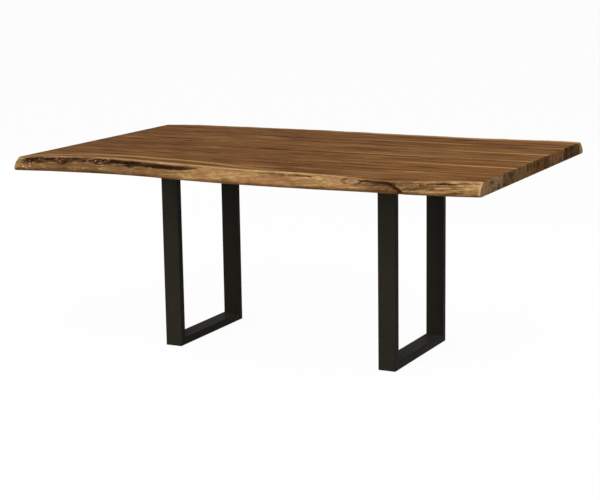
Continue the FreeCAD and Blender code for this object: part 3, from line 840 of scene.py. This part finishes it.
# Rear live-edge plank. The same kind of slab turned the other way, glued and dowelled to the fifth
# plank: its trunk side is at the back, smoother, with one patch of bark and two small knots.
rear_stations = np.array([
    (-0.500, 0.65, 0.36, -0.02, 0.00, 0.50, 0.8, 0.90),
    (-0.460, 0.48, 0.22, -0.02, 0.00, 0.46, 0.7, 0.90),
    (-0.400, 0.39, 0.13, 0.02, 0.05, 0.42, 0.4, 0.80),
    (-0.320, 0.37, 0.09, 0.04, 0.20, 0.36, 0.2, 0.80),
    (-0.230, 0.32, 0.10, 0.02, 0.10, 0.36, 0.2, 0.80),
    (-0.140, 0.28, 0.05, -0.02, 0.00, 0.40, 0.3, 0.90),
    (-0.033, 0.34, 0.06, -0.02, 0.00, 0.40, 0.3, 0.90),
    (0.082, 0.38, 0.13, 0.01, 0.30, 0.32, 0.2, 0.70),
    (0.191, 0.41, 0.16, 0.03, 0.85, 0.22, 0.0, 0.45),
    (0.300, 0.40, 0.12, 0.02, 0.60, 0.26, 0.0, 0.50),
    (0.390, 0.33, 0.05, -0.01, 0.05, 0.42, 0.4, 0.80),
    (0.455, 0.24, 0.00, -0.02, 0.00, 0.56, 0.7, 1.00),
    (0.500, 0.29, 0.03, -0.02, 0.00, 0.60, 0.8, 1.00),
])
rear_knots = [
    ((-0.410, 0.45), (0.026, 0.20), 0.0040, 1.9, 0, 0.9),
    ((0.640, 0.55), (0.020, 0.18), 0.0030, 2.4, 1, 0.5),
]
rear_hollow = [(0.330, 0.30, 0.00), (0.390, 0.32, 0.12), (0.430, 0.34, 0.10), (0.480, 0.36, 0.00)]
rear_cracks = [
    [(-0.180, 0.10, 0.00), (-0.150, 0.22, 0.08), (-0.090, 0.50, 0.12), (-0.070, 0.60, 0.00)],
]
rear_pale_line = np.array([
    (-0.500, 0.016, 0.014, 0.40),
    (-0.100, 0.020, 0.016, 0.60),
    (0.200, 0.018, 0.018, 0.90),
    (0.500, 0.020, 0.020, 1.00),
])
rear_plank = live_edge_skin(
    "rear_live_edge_plank",
    side=1,
    stations=rear_stations,
    hollow=rear_hollow,
    knots=rear_knots,
    cracks=rear_cracks,
    pale_line=rear_pale_line,
    seed=41,
)
rear_plank.data.materials.append(live_edge_wood(
    "rear_live_edge_wood",
    shift=23.7,
    heart=(0.455, 0.660),
    tone=-0.01,
    joint=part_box("rear_live_edge_plank")[0].y,
    end_shade=colour(91, 71, 38),
    bark_line=(0.5595, 0.0279),
))

# Dowels. Round pins of beech, glued half into one plank and half into the next, that line up the
# planks in each glue joint. Nothing shows of them once the top is glued up.
dowel_beech, tree, place = start_material("dowel_beech")
fleck = stretched_noise(tree, place, (700.0, 60.0, 700.0), 2.0)
shade = ramp(tree, fleck, (0.35, colour(196, 160, 116)), (0.65, colour(222, 190, 146)))
finish_material(dowel_beech, shade, fade(tree, fleck, 0.2, 0.8, 0.55, 0.7), fleck, depth=0.0002)
dress(dowel_beech, *[f"glue_joint_{number}_dowels" for number in range(1, 6)])

# Steel frames. Each is a U of rectangular tube, mitred and welded at the floor and welded up to a
# slotted plate, then powder coated in satin black. The coat has a faint orange peel and holds dust.
coat_sheen = 0.02
dust_line = 0.14
coat_black, tree, place = start_material("satin_black_powder_coat")
peel = stretched_noise(tree, place, (900.0, 900.0, 900.0), 2.0)
cloud = stretched_noise(tree, place, (9.0, 9.0, 3.0), 3.0)
scuff = stretched_noise(tree, place, (160.0, 160.0, 30.0), 3.0)
low_down = fade(tree, part_of(tree, place, "Z"), 0.0, dust_line, 0.60, 0.0)
dust = product(tree, low_down, cloud, fade(tree, facing(tree, "Z"), 0.6, 0.95))
shade = lay_over(
    tree,
    ramp(tree, cloud, (0.3, colour(31, 29, 23)), (0.7, colour(38, 35, 29))),
    ("MIX", fade(tree, scuff, 0.66, 0.78, 0.0, 0.25), colour(70, 68, 62)),
    ("MIX", dust, colour(96, 92, 84)),
)
roughness = work_out(tree, "MULTIPLY_ADD", scuff, 0.12, fade(tree, cloud, 0.3, 0.7, 0.40, 0.50))
shader = finish_material(coat_black, shade, roughness, peel, depth=0.00006)
shader.inputs["Specular IOR Level"].default_value = coat_sheen
for part in ("front_upright", "rear_upright", "bottom_bar", "mounting_plate"):
    dress(coat_black, f"left_{part}", f"right_{part}")

# Bolts and washers. Hexagon bolts with wide washers, bright zinc plated, run up through the plates'
# slots so that the wood can still swell and shrink.
zinc, tree, place = start_material("bright_zinc")
spangle = stretched_noise(tree, place, (260.0, 260.0, 260.0), 2.0)
scratch = stretched_noise(tree, place, (1400.0, 200.0, 900.0), 2.0)
shade = ramp(tree, spangle, (0.3, colour(168, 170, 172)), (0.7, colour(206, 206, 202)))
roughness = fade(tree, scratch, 0.3, 0.7, 0.28, 0.46)
shader = finish_material(zinc, shade, roughness, scratch, depth=0.00004)
shader.inputs["Metallic"].default_value = 1.0
for part in ("plate_bolts", "plate_washers"):
    dress(zinc, f"left_{part}", f"right_{part}")

# Threaded inserts. Turned brass sleeves that are screwed into the planks' underside, where the bolts
# take hold of them.
brass, tree, place = start_material("turned_brass")
turning = stretched_noise(tree, place, (120.0, 120.0, 1600.0), 2.0)
shade = ramp(tree, turning, (0.3, colour(176, 138, 74)), (0.7, colour(214, 178, 106)))
roughness = fade(tree, turning, 0.3, 0.7, 0.25, 0.42)
shader = finish_material(brass, shade, roughness, turning, depth=0.00005)
shader.inputs["Metallic"].default_value = 1.0
dress(brass, "left_threaded_inserts", "right_threaded_inserts")

# Floor pads. Thin sheets of black rubber, two under each bar, near its ends. They are glued on, so
# that steel never scrapes the floor.
pad_rubber, tree, place = start_material("pad_rubber")
pebble = stretched_noise(tree, place, (500.0, 500.0, 500.0), 2.0)
shade = ramp(tree, pebble, (0.3, colour(26, 26, 26)), (0.7, colour(44, 43, 42)))
finish_material(pad_rubber, shade, fade(tree, pebble, 0.3, 0.7, 0.75, 0.9), pebble, depth=0.0002)
dress(pad_rubber, "left_floor_pads", "right_floor_pads")

# Studio. A wide floor, grey in the light that it throws back and nearly white to the camera, under a
# white surround. Soft lamps hang high at the front, low at the front left and high at the rear right,
# and a small one stands low at the back left for a sheen on the frames.
white = (1.0, 1.0, 1.0, 1.0)
floor_reach = 40.0
floor_grey = 0.3
floor_seen = 0.9
floor_glow = 0.96
surround_light = 0.45
floor_mesh = bpy.data.meshes.new("floor")
floor_corners = [
    (-floor_reach, -floor_reach, 0.0),
    (floor_reach, -floor_reach, 0.0),
    (floor_reach, floor_reach, 0.0),
    (-floor_reach, floor_reach, 0.0),
]
floor_mesh.from_pydata(floor_corners, [], [(0, 1, 2, 3)])
floor = bpy.data.objects.new("floor", floor_mesh)
bpy.context.scene.collection.objects.link(floor)
floor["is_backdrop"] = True
floor_white = bpy.data.materials.new("floor_white")
floor_white.use_nodes = True
tree = floor_white.node_tree
shader = tree.nodes["Principled BSDF"]
shader.inputs["Roughness"].default_value = 0.9
shader.inputs["Specular IOR Level"].default_value = 0.0
rays = add_node(tree, "ShaderNodeLightPath", {}).outputs
seen = work_out(tree, "MAXIMUM", rays["Is Camera Ray"], rays["Is Glossy Ray"])
paint = work_out(tree, "MULTIPLY_ADD", seen, floor_seen - floor_grey, floor_grey)
tree.links.new(paint, shader.inputs["Base Color"])
glow = add_node(tree, "ShaderNodeEmission", {"Color": white, "Strength": 1.0})
sockets = {0: product(tree, seen, floor_glow), 1: shader.outputs[0], 2: glow.outputs[0]}
mixed = add_node(tree, "ShaderNodeMixShader", sockets)
tree.links.new(mixed.outputs[0], tree.nodes["Material Output"].inputs["Surface"])
floor_mesh.materials.append(floor_white)

world = bpy.data.worlds.new("studio")
bpy.context.scene.world = world
world.use_nodes = True
tree = world.node_tree
rays = add_node(tree, "ShaderNodeLightPath", {}).outputs
seen = work_out(tree, "MAXIMUM", rays["Is Camera Ray"], rays["Is Transmission Ray"])
strength = work_out(tree, "MULTIPLY_ADD", seen, 1.0 - surround_light, surround_light)
tree.links.new(strength, tree.nodes["Background"].inputs["Strength"])
tree.nodes["Background"].inputs["Color"].default_value = white

# Each lamp: its place, its tilt about X, Y and Z in degrees, its width and its watts.
for name, spot, tilt, width, power in (
    ("key_lamp", (0.2, -3.4, 3.9), (41, 0, 3), 2.6, 130.0),
    ("front_lamp", (-0.6, -5.0, 1.35), (80, 0, -7), 2.4, 185.0),
    ("rear_lamp", (1.8, 1.5, 2.9), (-20, 0, -10), 1.8, 50.0),
    ("back_lamp", (-5.0, 2.8, 0.5), (-90, 0, 61), 0.5, 100.0),
):
    lamp = bpy.data.lights.new(name, "AREA")
    lamp.size = width
    lamp.energy = power
    hung = bpy.data.objects.new(name, lamp)
    hung.location = spot
    hung.rotation_euler = [math.radians(angle) for angle in tilt]
    hung.visible_camera = False
    bpy.context.scene.collection.objects.link(hung)

# Camera. It stands at the front right, a little above the top, and looks down along the table.
# Its lens is given by the focal length in pixels of a picture 600 wide.
camera_place = (2.6728, -5.3009, 1.5658)
look_down = math.radians(11.38)
look_aside = math.radians(26.93)
lean = math.radians(-0.87)
focal_pixels = 1569.3
picture_width = 600
camera = bpy.data.cameras.new("camera")
camera.sensor_width = 36.0
camera.lens = focal_pixels / picture_width * camera.sensor_width
eye = bpy.data.objects.new("camera", camera)
turn = Euler((math.pi / 2 - look_down, 0.0, look_aside)).to_matrix()
roll = Matrix.Rotation(lean, 3, "Z")
eye.matrix_world = Matrix.Translation(camera_place) @ (turn @ roll).to_4x4()
bpy.context.scene.collection.objects.link(eye)
bpy.context.scene.camera = eye
bpy.context.scene.view_settings.view_transform = "Standard"

low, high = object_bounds()
